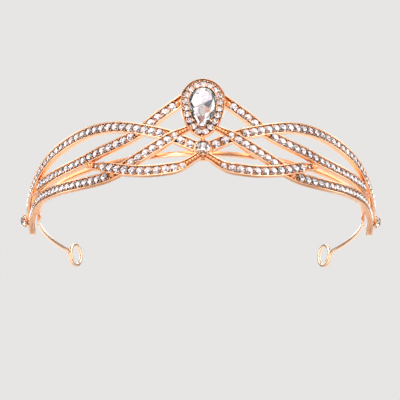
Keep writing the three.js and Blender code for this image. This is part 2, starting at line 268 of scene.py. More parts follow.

# %% [markdown]
# ## Crystal
# A rhinestone is a cut glass stone with a mirror foil on its back. Light goes in through the crown, strikes the foil
# facets and comes back out, which is why it flashes white and dark. So each stone gets two finishes: clear glass in
# front and metal foil behind. The foil's colour changes from facet to facet, and that is painted reflection: some
# facets are painted dim, some warm pink as if mirroring the gold, and the rest near white.

# %% Glass and foil
def clear_glass():
    material = bpy.data.materials.new("clear crystal")
    material.use_nodes = True
    tree = material.node_tree
    surface = tree.nodes["Principled BSDF"]
    surface.inputs["Transmission Weight"].default_value = 1.0
    surface.inputs["IOR"].default_value = 1.56
    place = node(tree, "ShaderNodeTexCoord")
    haze = node(tree, "ShaderNodeTexNoise", Scale=420.0, Detail=2.0)
    tint = ramp(tree, [(0.3, (0.97, 0.96, 1.0, 1)), (0.7, (1.0, 0.99, 0.97, 1))])
    film = node(tree, "ShaderNodeMapRange")
    film.inputs["To Min"].default_value = 0.0
    film.inputs["To Max"].default_value = 0.03
    wire_up(tree, [
        (place.outputs["Object"], haze.inputs["Vector"]), (haze.outputs["Fac"], tint.inputs["Fac"]),
        (tint.outputs["Color"], surface.inputs["Base Color"]),
        (haze.outputs["Fac"], film.inputs["Value"]), (film.outputs["Result"], surface.inputs["Roughness"]),
    ])
    return material


def mirror_foil():
    material = bpy.data.materials.new("mirror foil")
    material.use_nodes = True
    tree = material.node_tree
    surface = tree.nodes["Principled BSDF"]
    surface.inputs["Metallic"].default_value = 1.0
    surface.inputs["Roughness"].default_value = 0.12
    # The attribute read here holds each facet's painted reflection: the foil is painted dark, grey, lilac or pink
    # where that facet would mirror dark or gold, and near white elsewhere. The noise mottle is random tone.
    painted_reflection = node(tree, "ShaderNodeAttribute", attribute_name="facet_painted_reflection")
    place = node(tree, "ShaderNodeTexCoord")
    mottle = node(tree, "ShaderNodeTexNoise", Scale=600.0, Detail=2.0)
    patch = ramp(tree, [(0.3, (0.86, 0.84, 0.86, 1)), (0.7, (1.0, 0.98, 0.96, 1))])
    mix = node(tree, "ShaderNodeMix", data_type="RGBA", blend_type="MULTIPLY")
    mix.inputs["Factor"].default_value = 1.0
    wire_up(tree, [
        (place.outputs["Object"], mottle.inputs["Vector"]), (mottle.outputs["Fac"], patch.inputs["Fac"]),
        (painted_reflection.outputs["Color"], mix.inputs[6]), (patch.outputs["Color"], mix.inputs[7]),
        (mix.outputs[2], surface.inputs["Base Color"]),
    ])
    return material


GLASS, FOIL = clear_glass(), mirror_foil()


# %% [markdown]
# ## The cut of a stone
# A round brilliant has a flat table, eight star facets, eight kites and sixteen small facets down to the girdle, then
# eight long facets and sixteen short ones on its back. Its rings of corners are joined one by one, so that every
# facet is a true flat face and catches the light on its own.

# %% One brilliant
def brilliant(radius, crown=0.27, table=0.56, depth=0.38, turn=0.0):
    """Points with the girdle at height 0 and the table up; finish 0 is glass and 1 is foil."""
    step = math.pi / 8

    def ring(r, z, offset, count):
        angles = turn + np.arange(count) * 2 * math.pi / count + offset
        return np.stack([r * np.cos(angles), r * np.sin(angles), np.full(count, z)], 1)

    mid, under, edge = 0.80, 0.34, 0.04
    mid_z = crown * (1 - mid * math.cos(step)) / (1 - table)
    under_z = -edge - (depth - edge) * (1 - under * math.cos(step))
    points = np.concatenate([
        ring(table, crown, 0, 8), ring(mid, mid_z, step, 8), ring(1, 0, 0, 16), ring(1, -edge, 0, 16),
        ring(under, under_z, step, 8), [[0, 0, -depth]],
    ]) * radius
    T, M, G, H, Q, C = 0, 8, 16, 32, 48, 56
    front, back = [tuple(range(8))], []
    for k in range(8):
        n, g = (k + 1) % 8, 2 * k
        front.append((T + k, M + k, T + n))
        front.append((T + k, M + (k - 1) % 8, G + g, M + k))
        front += [(M + k, G + g, G + g + 1), (M + k, G + g + 1, G + (g + 2) % 16)]
        back.append((C, Q + k, H + g, Q + (k - 1) % 8))
        back += [(Q + k, H + g + 1, H + g), (Q + k, H + (g + 2) % 16, H + g + 1)]
    for g in range(16):
        front.append((G + g, H + g, H + (g + 1) % 16, G + (g + 1) % 16))
    return points, front + back, [0] * len(front) + [1] * len(back)


def placed(shape, point, across, along, out):
    """Moves a part whose x, y, z run across, along and out of the surface."""
    points, faces, finishes = shape
    basis = np.stack([across, along, out])
    return points @ basis + np.asarray(point), faces, finishes


def paint_facet_reflections(crystal_piece, painted_reflection_of):
    """Paints each facet's foil with its own colour, a painted reflection."""
    mesh = crystal_piece.data
    painted_reflections = mesh.color_attributes.new(name="facet_painted_reflection", type="FLOAT_COLOR", domain="CORNER")
    values = np.ones((len(mesh.loops), 4))
    for polygon in mesh.polygons:
        start = polygon.loop_start
        values[start:start + polygon.loop_total, :3] = painted_reflection_of(polygon)
    painted_reflections.data.foreach_set("color", values.ravel().astype(np.float32))


def painted_reflection_spread(polygon):
    """Painted reflections: a quiet spread of cool, warm and dim foil colours, the same on every run. The dim ones
    stand in for mirrored darkness, the warm ones for mirrored pink gold.
    """
    k = (polygon.index * 0.61803) % 1.0
    if k < 0.10:
        return 0.16, 0.14, 0.14
    if k < 0.20:
        return 0.98, 0.70, 0.56
    level = 0.86 + 0.13 * ((k * 7.3) % 1.0)
    return level, level * 0.985, level


print("facets on one brilliant:", len(brilliant(1.0)[1]))

# %% [markdown]
# ## The bands' centre lines
# Eight bands, four on each side, weave over and under each other. Each one follows a smooth line that is given
# by a few heights along the head circle. A centripetal curve goes through them without loops or overshoot.

# %% Lines and widths
BAND = {"half": 2.15, "thick": 1.1, "wall": 0.52, "floor": -0.35}
BAND_LINES = {
    "arc": [
        (3.6, 11.7, 0), (6, 13.1, 0), (9.5, 15.2, 0), (13, 16.8, 0), (17.5, 18.5, 0), (22.5, 20.3, 0),
        (28.5, 22, 0), (34.5, 22.7, 0), (41, 22.4, 0), (50, 20.9, 0), (58, 19.1, 0), (65, 16.7, 0),
        (71, 14.2, 0.1), (75.5, 12.5, 0.2), (79.5, 11, 0.3), (84.5, 9.4, 0.3), (91, 7.6, 0.3),
    ],
    "shoulder": [
        (8.8, 27.7, 0), (11, 25.9, 0), (15, 22.55, 0), (18, 19.8, 0), (21, 17.7, 0), (24, 16.2, 0),
        (29, 14.4, 0), (34, 13.2, 0), (40, 11.6, 0), (46, 10.8, 0), (53, 10.5, 0), (60, 10.4, 0),
        (66, 10.6, 0), (71, 11.1, 0),
    ],
    "cross": [
        (5.4, 17.5, 0), (8.8, 15.6, 0), (11.2, 13.9, 0), (14.2, 11.9, 0), (19, 8.8, 0), (23, 6.3, 0),
        (27, 3.9, 0), (31.5, 2.5, 0), (36, 2.2, 0), (42, 2.5, 0), (50, 3.5, 0), (60, 4.8, -0.3),
        (67, 5.7, -0.7), (72, 5.5, -0.7), (77, 4.6, -0.7), (82, 3.8, -0.7), (87, 3, -0.7), (92, 2.5, -0.7),
    ],
    "lower": [
        (3.4, 5.5, 0), (5.5, 3.9, 0), (8, 2.8, 0), (12, 2.3, 0), (16, 2.2, 0), (19.5, 2.6, 0),
        (24, 3.6, 0), (28, 5, 0), (32, 6.5, 0), (35, 7.7, 0),
    ],
}
# First and last width as a share of the full one, each with the length that it takes.
TAPER = {"arc": (1, 1, 1, 1), "shoulder": (1, 1, 0.8, 5), "cross": (0.55, 7, 0.8, 2), "lower": (0.6, 8, 0.62, 3)}
# How far each end runs on, in mm, into the setting or band that it is soldered to.
RUN_ON = {"arc": (1.8, 0.0), "shoulder": (5.4, 4.5), "cross": (3.0, 0.0), "lower": (3.4, 4.2)}
OVER_UNDER = [("cross", "arc"), ("arc", "shoulder"), ("lower", "cross")]


def smooth_line(knots):
    """Many points along a centripetal curve through the knots."""
    p = np.asarray(knots, float)
    p = np.concatenate([[2 * p[0] - p[1]], p, [2 * p[-1] - p[-2]]])
    made_points = []
    for i in range(1, len(p) - 2):
        gaps = [max(np.linalg.norm(p[i + k] - p[i + k - 1]), 1e-6) ** 0.5 for k in range(3)]
        a = (p[i] - p[i - 1]) / gaps[0] - (p[i + 1] - p[i - 1]) / (gaps[0] + gaps[1]) + (p[i + 1] - p[i]) / gaps[1]
        b = (p[i + 1] - p[i]) / gaps[1] - (p[i + 2] - p[i]) / (gaps[1] + gaps[2]) + (p[i + 2] - p[i + 1]) / gaps[2]
        a, b = a * gaps[1], b * gaps[1]
        t = np.linspace(0, 1, 40, endpoint=False)[:, None]
        made_points.append(p[i] + a * t + (3 * (p[i + 1] - p[i]) - 2 * a - b) * t ** 2
                           + (2 * (p[i] - p[i + 1]) + a + b) * t ** 3)
    return np.concatenate([*made_points, p[-2:-1]])


class Line:
    """A band's centre line on the unrolled wall: distance round it, height, and shift off it."""

    def __init__(self, name):
        self.name = name
        knots = [(math.radians(d) * BAND_RADIUS, z, shift) for d, z, shift in BAND_LINES[name]]
        self.points = smooth_line(knots)
        steps = np.linalg.norm(np.diff(self.points, axis=0), axis=1)
        self.along = np.concatenate([[0], np.cumsum(steps)])
        self.length = self.along[-1]

    def flat(self, s):
        """Unrolled points at the distances s; past the ends it goes straight on."""
        s = np.asarray(s, float)
        inner = np.clip(s, 0, self.length)
        p = np.stack([np.interp(inner, self.along, self.points[:, k]) for k in range(3)], -1)
        first = (self.points[8] - self.points[0]) / self.along[8]
        last = (self.points[-1] - self.points[-9]) / (self.along[-1] - self.along[-9])
        return p + np.minimum(s, 0)[..., None] * first + np.maximum(s - self.length, 0)[..., None] * last

    def place(self, s):
        p = self.flat(s)
        return on_head(np.degrees(p[..., 0] / BAND_RADIUS), BAND_RADIUS + p[..., 2], p[..., 1])

    def stations(self, s):
        """Point, across (upwards), along and out at each distance."""
        point = self.place(s)
        along = self.place(s + 0.4) - self.place(s - 0.4)
        along /= np.linalg.norm(along, axis=-1, keepdims=True)
        out = point * [1, 1, 0] - [0, AXIS_Y, 0]
        out /= np.linalg.norm(out, axis=-1, keepdims=True)
        out -= along * np.sum(out * along, -1, keepdims=True)
        out /= np.linalg.norm(out, axis=-1, keepdims=True)
        return point, np.cross(out, along), along, out

    def distance_at(self, degrees):
        """Distance along the line at an angle round the head; it may lie past either end."""
        x = math.radians(degrees) * BAND_RADIUS
        first, last = self.points[0, 0], self.points[-1, 0]
        return float(np.interp(x, self.points[:, 0], self.along)) + 1.1 * (min(x - first, 0) + max(x - last, 0))

    def half_width(self, s):
        first, first_length, last, last_length = TAPER[self.name]
        start = first + (1 - first) * np.clip(s / first_length, 0, 1)
        end = last + (1 - last) * np.clip((self.length - s) / last_length, 0, 1)
        return BAND["half"] * np.minimum(start, end)


LINES = {name: Line(name) for name in BAND_LINES}
for line in LINES.values():
    print(f"{line.name} band: {line.length:.1f} mm long")

# %% [markdown]
# ## Channel bands
# A band is a shallow trough: two thin walls with polished tops and a floor between them where the stones sit.
# The section of the trough is swept along the line. Where one band passes under another, its front is pressed
# down below the upper band's back, and the upper band's back is cut away over the lower one. Doing that point
# by point makes each crossing follow the true edge of the band above it.

# %% The trough's section
PEAR_Z, PEAR_BACK, PEAR_LEAN = 28.8, 68.4, 2.0


def inside_pear(x, z, wide, up, down):
    """Whether flat points lie inside a pear outline."""
    high = (x / wide) ** 2 + (z / up) ** 2 < 1
    low = (np.abs(x) / wide) ** 1.515 + (z / down) ** 2 < 1
    return np.where(z > 0, high, low)


def trough(half):
    """Section points for one half width: across and out, all the way round."""
    wall = BAND["wall"] * min(1.0, half / BAND["half"] + 0.1)
    inner, top = half - wall, BAND["thick"]
    floor = BAND["floor"] + 1.9 * (1 - min(1.0, half / BAND["half"]))
    side = [
        (half - 0.5, -top), (half - 0.22, -top + 0.02), (half - 0.06, -top + 0.1), (half, -top + 0.28),
        (half + 0.0, 0.0), (half, top - 0.26), (half - 0.04, top - 0.1), (half - 0.13, top - 0.02),
        (half - 0.24, top), (inner + 0.2, top - 0.02), (inner + 0.08, top - 0.08), (inner + 0.01, top - 0.22),
        (inner - 0.03, max(0.35, floor + 0.2)), (inner - 0.1, floor + 0.12), (inner - 0.24, floor),
    ]
    return np.array(side + [(-a, b) for a, b in reversed(side)])


def nearness(line, points):
    """Shortest distance on the unrolled wall from each point to another band's centre line."""
    samples = line.points[::3, :2]
    gaps = np.linalg.norm(points[:, None, :] - samples[None], axis=-1)
    nearest = np.argmin(gaps, axis=1)
    return gaps[np.arange(len(points)), nearest], line.half_width(line.along[::3][nearest])


def band_part(name):
    line = LINES[name]
    before, after = RUN_ON[name]
    s = np.linspace(-before, line.length + after, int((line.length + before + after) / 0.32))
    section = np.stack([trough(h) for h in line.half_width(s)])
    point, across, along, out = line.stations(s)
    flat = line.flat(s)[:, :2]
    heading = line.flat(s + 0.2)[:, :2] - line.flat(s - 0.2)[:, :2]
    heading /= np.linalg.norm(heading, axis=1, keepdims=True)
    normal = np.stack([-heading[:, 1], heading[:, 0]], 1)
    spread = flat[:, None, :] + normal[:, None, :] * section[:, :, :1]
    lift = section[:, :, 1].copy()
    for over, under in OVER_UNDER:
        if name == under:
            gap, reach = nearness(LINES[over], spread.reshape(-1, 2))
            gap, reach = (gap.reshape(lift.shape), reach.reshape(lift.shape))
            dip = np.clip((reach + 1.6 - gap) / 1.6, 0, 1)
            lift = np.where(lift > 0.3, lift - 0.28 * dip * dip * (3 - 2 * dip), lift)
            lift = np.where(gap < reach - 0.38, np.minimum(lift, -0.6), lift)
        if name == over:
            gap, reach = nearness(LINES[under], spread.reshape(-1, 2))
            gap, reach = (gap.reshape(lift.shape), reach.reshape(lift.shape))
            lift = np.where(gap < reach - 0.1, np.maximum(lift, -0.34), lift)
    in_cup = inside_pear(spread[..., 0], spread[..., 1] - PEAR_Z, 8.0, 8.7, 14.5)
    lift = np.where(in_cup, np.minimum(lift, -0.3), lift)
    rings = point[:, None] + across[:, None] * section[:, :, :1] + out[:, None] * lift[:, :, None]
    return skin(rings)


# %% [markdown]
# ## Beads of metal
# Between two neighbouring stones the setter pushes up a small bead of metal on each wall to hold them. A bead
# is a ball with its lower half sunk in the channel. The narrow ends of the bands are too slim for stones, so
# the caster filled them with a row of plain beads that only look like stones.

# %% A ball and the rows of stones
def ball(radius, squash=1.0, rings=5, sides=8):
    points, faces = [(0, 0, -radius * squash)], []
    for i in range(1, rings):
        a = math.pi * i / rings - math.pi / 2
        for j in range(sides):
            b = 2 * math.pi * j / sides
            points.append((radius * math.cos(a) * math.cos(b), radius * math.cos(a) * math.sin(b),
                           radius * squash * math.sin(a)))
    points.append((0, 0, radius * squash))
    last = len(points) - 1
    for j in range(sides):
        k = (j + 1) % sides
        faces.append((0, 1 + k, 1 + j))
        faces.append((last, last - sides + j, last - sides + k))
        for i in range(rings - 2):
            a = 1 + i * sides
            faces.append((a + j, a + k, a + sides + k, a + sides + j))
    return part(points, faces)


STONE = {"radius": 1.53, "pitch": 3.1, "girdle": 0.84}
STONE_ROWS = {
    "arc": [(2.6, 8.2), (12.3, 89)], "shoulder": [(8.3, 17.3), (21.7, 67.2)],
    "cross": [(7.6, 23.7), (30.7, 91.5)], "lower": [(5.2, 36.2)],
}
# Plain bead fillings: first and last distance along the band, bead radius and pitch, in mm.
BEAD_FILL = {"cross": (-2.4, 3.0, 0.72, 1.15), "lower": (-2.8, 2.1, 0.74, 1.2), "shoulder": (-2.4, -0.6, 0.5, 0.9)}


# Webs of gold that the caster left beside a crossing: angle round the head, radius and height, in mm.
WEBS = {
    "shoulder": [(7.9, 1.5, -0.2), (20.9, 1.25, -0.2), (68.4, 1.3, -0.1)], "cross": [(29.4, 1.3, -0.3), (24.6, 0.8, -0.3)],
    "arc": [(9.0, 1.0, -0.45)], "lower": [(37.2, 1.3, 0.0), (38.4, 1.2, -0.1)],
}


def rows_of(name):
    """Every stone's distance along its band."""
    line = LINES[name]
    found = []
    for first, last in STONE_ROWS[name]:
        start, end = line.distance_at(first), line.distance_at(last)
        count = max(1, round((end - start) / STONE["pitch"]))
        found.append(start + (end - start) * (np.arange(count) + 0.5) / count)
    return found


def stones_part(name):
    line, parts = LINES[name], []
    for s in np.concatenate(rows_of(name)):
        point, across, along, out = (v[0] for v in line.stations(np.array([s])))
        fit = min(STONE["radius"], float(line.half_width(s)) - 0.6)
        turn = (s * 0.754) % (math.pi / 4)
        tilt = 0.05 * math.sin(s * 5.1), 0.05 * math.cos(s * 3.7)
        lean = out + across * tilt[0] + along * tilt[1]
        lean /= np.linalg.norm(lean)
        side = across - lean * np.dot(across, lean)
        side /= np.linalg.norm(side)
        parts.append(placed(brilliant(fit, turn=turn), point + out * STONE["girdle"],
                            side, np.cross(lean, side), lean))
    return join(parts), len(parts)


def beads_part(name):
    line, parts = LINES[name], []
    for row in rows_of(name):
        pitch = row[1] - row[0] if len(row) > 1 else STONE["pitch"]
        for s in np.append(row - pitch / 2, row[-1] + pitch / 2):
            point, across, along, out = (v[0] for v in line.stations(np.array([s])))
            reach = float(line.half_width(s)) - 0.92
            for way in (-1, 1):
                parts.append(placed(ball(0.36, 1.1), point + across * reach * way + out * 0.9,
                                    across, along, out))
    if name in BEAD_FILL:
        first, last, radius, pitch = BEAD_FILL[name]
        for s in np.arange(first, last, pitch):
            point, across, along, out = (v[0] for v in line.stations(np.array([s])))
            parts.append(placed(ball(radius, 0.6, 6, 12), point + out * 0.8, across, along, out))
    for s, radius, height in WEBS.get(name, []):
        point, across, along, out = (v[0] for v in line.stations(np.array([line.distance_at(s)])))
        parts.append(placed(ball(radius, 0.8, 8, 16), point + out * height, across, along, out))
    return join(parts)


# %% Make the bands on both sides
total_stones = 0
for name in LINES:
    metal = join([band_part(name), beads_part(name)])
    stones, count = stones_part(name)
    total_stones += 2 * count
    keys = [f"stones_{k}" for k in ("arc_inner", "arc_outer", "shoulder_upper", "shoulder_lower",
                                    "cross_inner", "cross_outer", "lower_row") if k.startswith(name)]
    for side, shapes in (("right", (metal, stones)), ("left", (mirrored(metal), mirrored(stones)))):
        piece(f"{side}_{name}_channel", shapes[0], [CAST_GOLD], "tiara", "cast_gold", [f"{side}_{name}_band"])
        crystals = piece(f"{side}_{name}_crystals", shapes[1], [GLASS, FOIL], "tiara", "crystal",
                         [f"{side}_{k}" for k in keys], sharp=0)
        paint_facet_reflections(crystals, painted_reflection_spread)
print("crystals in the bands:", total_stones)

# %% [markdown]
# ## The pear jewel
# The centre jewel is a drop-shaped cup. From the outside in it has a rounded rim, a fine groove, a channel for
# a halo of small stones, and a thin inner bezel that grips one large drop. A pear outline is a half circle on
# top that runs down to a soft point, and each edge of the cup is that outline at another size and depth.

# %% Pear cup and halo
def pear_outline(wide, up, down, angles):
    s, c = np.sin(angles), np.cos(angles)
    x = np.where(c >= 0, wide * s, wide * np.sign(s) * np.abs(s) ** 1.32)
    return x, np.where(c >= 0, up * c, down * c)


def pear_place(x, z, depth):
    """The jewel leans a little to its right, as set by hand."""
    a = math.radians(PEAR_LEAN)
    x, z = x * math.cos(a) + z * math.sin(a), z * math.cos(a) - x * math.sin(a)
    y = np.full_like(x, AXIS_Y - PEAR_BACK) - depth
    return np.stack([x, y, z + PEAR_Z + BASE_Z], -1)


def pear_rings(profile, count=96):
    angles = np.arange(count) * 2 * math.pi / count
    return np.stack([pear_place(*pear_outline(w, u, d, angles), depth) for w, u, d, depth in profile])


CUP = [
    (6.8, 7.5, 12.6, 0.0), (7.7, 8.4, 14.1, 0.3), (8.35, 9.05, 15.0, 0.95), (8.45, 9.15, 15.2, 1.5),
    (8.45, 9.15, 15.2, 2.35), (8.41, 9.11, 15.12, 2.6), (8.3, 9.0, 14.95, 2.72), (8.18, 8.88, 14.75, 2.62),
    (8.13, 8.83, 14.68, 2.3), (8.1, 8.8, 14.64, 1.7), (7.98, 8.68, 14.45, 1.7), (7.95, 8.65, 14.4, 2.2),
    (7.86, 8.56, 14.25, 2.36), (7.76, 8.46, 14.1, 2.25), (7.7, 8.4, 14.0, 1.1), (5.42, 6.1, 11.2, 1.1),
    (5.37, 6.05, 11.12, 2.2), (5.31, 5.98, 11.05, 2.4), (5.24, 5.9, 10.98, 2.42), (5.17, 5.82, 10.93, 2.2),
    (5.12, 5.75, 10.9, 0.5),
]


def halo_places(count):
    """Evenly spaced places along the middle of the halo channel, with the way the channel runs."""
    angles = np.linspace(0, 2 * math.pi, 1441)
    x, z = pear_outline(6.53, 7.22, 12.6, angles)
    along = np.concatenate([[0], np.cumsum(np.hypot(np.diff(x), np.diff(z)))])
    s = (np.arange(count) + 0.0) / count * along[-1]
    return [(np.interp(v, along, x), np.interp(v, along, z), np.interp((v + 0.05), along, x),
             np.interp(v + 0.05, along, z)) for v in s]


HALO_COUNT = 19
halo, halo_beads = [], []
FRONT = np.array([0.0, -1.0, 0.0])
for index, (x, z, x2, z2) in enumerate(halo_places(HALO_COUNT)):
    seat = pear_place(np.array(x), np.array(z), 2.28)
    along = pear_place(np.array(x2), np.array(z2), 2.28) - seat
    along /= np.linalg.norm(along)
    tilt = FRONT + 0.05 * along * math.sin(index * 2.3)
    tilt /= np.linalg.norm(tilt)
    across = np.cross(along, tilt)
    across /= np.linalg.norm(across)
    halo.append(placed(brilliant(1.27, turn=index * 0.37, crown=0.36, depth=0.75), seat, across,
                       np.cross(tilt, across), tilt))
gaps = halo_places(HALO_COUNT * 2)[1::2]
for x, z, x2, z2 in gaps:
    for scale in (0.87, 1.125):
        spot = pear_place(np.array(x * scale), np.array(z * scale), 2.35)
        halo_beads.append(placed(ball(0.34, 1.0), spot, np.array([1.0, 0, 0]), np.array([0, 0, 1.0]), FRONT))
claws = []
for angle in np.radians([28, 62, 100, 138, 222, 260, 298, 332]):
    x, z = pear_outline(5.2, 5.85, 10.95, angle)
    spot = pear_place(np.array(float(x)), np.array(float(z)), 2.6)
    claws.append(placed(ball(0.36, 1.2), spot, np.array([1.0, 0, 0]), np.array([0, 0, 1.0]), FRONT))
piece("pear_cup", join([skin(pear_rings(CUP)), *halo_beads, *claws]), [CAST_GOLD], "tiara", "cast_gold",
      ["pear_setting"])
halo_piece = piece("halo_crystals", join(halo), [GLASS, FOIL], "tiara", "crystal", ["halo_stones"], sharp=0)
paint_facet_reflections(halo_piece, painted_reflection_spread)
print("halo crystals:", HALO_COUNT)

# %% [markdown]
# ## The drop
# The large drop has a wide flat table with a bevel round it, and the facets that show are on its foiled back.
# They are big and uneven, and their patches of white, lilac, grey and one near black, with two that mirror the pink
# gold of the cup, are painted reflections: each patch is painted into the foil colour of its facet. So the back is a
# plan of named corners joined into facets. Each facet is a thin foil plate with its own painted reflection colour and
# its own lean, and a ring of narrow facets, painted the same way, closes the space out to the girdle.

# %% Plan of the drop
DROP = {"wide": 5.08, "up": 5.72, "down": 10.85, "edge": 2.35, "table": 3.5, "back": 1.85}
# Corners of the foil facets: right and up from the middle of the pear, in mm.
CORNERS = {
    "a": (-3.4, 2.3), "b": (-1.6, 2.8), "c": (-0.3, 1.1), "d": (-0.3, -1.1), "e": (-1.5, -2.6), "f": (-3.0, -2.4),
    "g": (-4.3, -0.4), "h": (-2.2, 3.6), "i": (-0.2, 4.2), "j": (1.9, 3.9), "k": (3.7, 0.9), "l": (1.2, -2.1),
    "m": (2.4, -2.6), "n": (3.1, -1.2), "o": (4.4, -0.6), "p": (4.1, -3.4), "q": (2.9, -4.5), "r": (-3.5, -3.1),
    "s": (-0.8, -5.7), "t": (-1.7, -6.3), "u": (-3.1, -5.0), "v": (1.1, -4.8), "w": (0.9, -6.3),
    "x": (2.3, -7.6), "y": (1.1, -8.7), "z": (0.4, -8.3), "0": (-0.7, -8.3), "1": (0.2, -10.0),
}
# Each facet: its corners, its painted reflection colour, and how far it leans right and up.
FACETS = [
    ("abcdefg", (0.98, 0.96, 0.92), (-0.10, 0.16)), ("hijkdcb", (0.60, 0.56, 0.61), (0.06, 0.10)),
    ("dknml", (0.04, 0.045, 0.06), (0.2, -0.1)), ("kopqmn", (1.0, 0.98, 0.95), (0.12, 0.12)),
    ("reust", (1.0, 1.0, 1.0), (-0.05, 0.2)), ("edlvws", (0.96, 0.88, 0.86), (0.05, 0.12)),
    ("lmqv", (0.95, 0.45, 0.34), (0.0, 0.1)), ("vqxyw", (0.92, 0.88, 0.87), (0.1, 0.15)),
    ("tswz0", (0.88, 0.46, 0.40), (-0.04, 0.1)), ("0zy1", (0.86, 0.80, 0.80), (0.0, 0.2)),
    ("wyz", (0.62, 0.52, 0.56), (0.1, 0.1)),
]
# Painted reflections for the narrow facets round the back: light, grey and one near black.
RIM_PAINTED_REFLECTIONS = [(0.95, 0.93, 0.91), (0.74, 0.71, 0.70), (1.0, 0.98, 0.96), (0.22, 0.21, 0.22), (0.9, 0.83, 0.79)]


# %% Cut the drop
def foil_facets():
    """The foil facets as separate thin plates, each leaning its own way, and the painted reflection colour of each.
    """
    parts, painted_reflections = [], []
    for corners, painted_reflection, (right, up) in FACETS:
        flat = np.array([CORNERS[c] for c in corners])
        middle = flat.mean(axis=0)
        flat = middle + (flat - middle) * 0.965
        lean = (flat - middle) @ np.array([right, up])
        parts.append(part(pear_place(flat[:, 0], flat[:, 1], DROP["back"] + lean), [tuple(range(len(flat)))], 1))
        painted_reflections.append(painted_reflection)
    return parts, painted_reflections


def drop_crystal():
    count = 20
    angles = (np.arange(count) + 0.5) * 2 * math.pi / count
    edge = np.stack(pear_outline(DROP["wide"], DROP["up"], DROP["down"], angles), 1)
    rings = [(0.72, 0.70, DROP["back"] - 0.3), (1, 1, DROP["edge"] - 0.25), (1, 1, DROP["edge"]),
             (0.9, 0.91, DROP["edge"] + 0.75)]
    points = [pear_place(edge[:, 0] * a, edge[:, 1] * b, depth) for a, b, depth in rings]
    points.append(pear_place(edge[::2, 0] * 0.74, edge[::2, 1] * 0.78, DROP["table"]))
    # The flat back is painted dark, a painted reflection like the rest of the foil.
    faces, finishes, painted_reflections = [tuple(range(count))[::-1]], [1], [(0.22, 0.20, 0.20)]
    for k in range(count):
        m = (k + 1) % count
        split = [(k, count + m, m), (k, count + k, count + m)] if k % 2 else [(k, count + k, m), (count + k, count + m, m)]
        for face in split:
            faces.append(face)
            finishes.append(1)
            painted_reflections.append(RIM_PAINTED_REFLECTIONS[(3 * len(painted_reflections)) % 5])
        for ring in (1, 2):
            a = ring * count
            faces.append((a + k, a + m, a + count + m, a + count + k))
    top, bevel = 4 * count, 3 * count
    faces.append(tuple(top + k for k in range(count // 2)))
    for k in range(count // 2):
        a, m = 2 * k, (k + 1) % (count // 2)
        faces += [(bevel + a, bevel + a + 1, top + k), (bevel + a + 1, top + m, top + k),
                  (bevel + a + 1, bevel + (a + 2) % count, top + m)]
    finishes = [1 if max(f) < 2 * count else 0 for f in faces]
    shell = facing_out((np.concatenate(points), faces, finishes))
    plates, plate_painted_reflections = foil_facets()
    painted_reflections_left = iter(painted_reflections + plate_painted_reflections)
    joined = join([shell, *plates])
    return joined, [next(painted_reflections_left) if finish == 1 else (1, 1, 1) for finish in joined[2]]


shape, drop_painted_reflections = drop_crystal()
drop = piece("pear_drop", shape, [GLASS, FOIL], "tiara", "crystal", ["pear_crystal"], sharp=0)
paint_facet_reflections(drop, lambda polygon: drop_painted_reflections[polygon.index])
print("facets on the drop:", len(drop.data.polygons))

# %% [markdown]
# ## Round cups
# The centre stone and the two end stones sit in turned cups. A turned shape is a profile spun round an axis,
# with small claws bent over the stone's edge. The centre cup is a plain collar with two turned rings below it.

# %% Turned cups
def turned(profile, seat, axis, sides=48):
    up = np.array([0.0, 0.0, 1.0])
    sideways = np.cross(up, axis)
    sideways /= np.linalg.norm(sideways)
    angles = (np.arange(sides) + 0.5) * 2 * math.pi / sides
    rings = [seat + axis * depth + radius * (np.outer(np.cos(angles), sideways) + np.outer(np.sin(angles), up))
             for radius, depth in profile]
    return skin(rings)


def cup_claws(count, radius, depth, seat, axis, size, offset=0.5):
    up = np.array([0.0, 0.0, 1.0])
    sideways = np.cross(up, axis)
    parts = []
    for k in range(count):
        a = (k + offset) * 2 * math.pi / count
        away = math.cos(a) * sideways + math.sin(a) * up
        parts.append(placed(ball(size, 1.3), seat + away * radius + axis * depth, away, np.cross(axis, away), axis))
    return parts


seat = np.array([0.0, AXIS_Y - 66.8, CENTRE_Z + BASE_Z])
cup_seat = seat + [0.0, 0.0, 0.35]
CENTRE_CUP = [
    (2.0, 0.0), (2.4, 0.1), (2.57, 0.5), (2.62, 1.1), (2.75, 1.25), (2.75, 1.45), (2.62, 1.6), (2.68, 2.1),
    (2.85, 2.25), (2.85, 2.45), (2.75, 2.6), (2.93, 3.1), (3.08, 3.7), (3.06, 4.05), (2.94, 4.18), (2.8, 4.1),
    (2.74, 3.8), (2.6, 2.6),
]
# The lip is a floor with a rim along its edge, bent round under the cup from one lower band to the other.
LIP = [(1.5, -0.3), (1.5, 0.1), (3.3, 0.15), (3.38, 0.9), (3.52, 1.04), (3.66, 0.92), (3.66, -0.1), (3.5, -0.3)]
lip = skin([[seat + FRONT * depth + radius * np.array([math.cos(a), 0.0, math.sin(a)]) for radius, depth in LIP]
            for a in np.radians(np.linspace(-158, -22, 29))])
piece("centre_cup", join([turned(CENTRE_CUP, cup_seat, FRONT), lip,
                          *cup_claws(6, 2.72, 4.12, cup_seat, FRONT, 0.4)]),
      [CAST_GOLD], "tiara", "cast_gold", ["centre_setting"])
stone = placed(brilliant(2.68, crown=0.42, depth=0.5, turn=0.2), cup_seat + FRONT * 3.95,
               np.array([1.0, 0, 0]), np.array([0, 0, 1.0]), FRONT)
centre = piece("centre_crystal", stone, [GLASS, FOIL], "tiara", "crystal", ["centre_stone"], sharp=0)
paint_facet_reflections(centre, painted_reflection_spread)

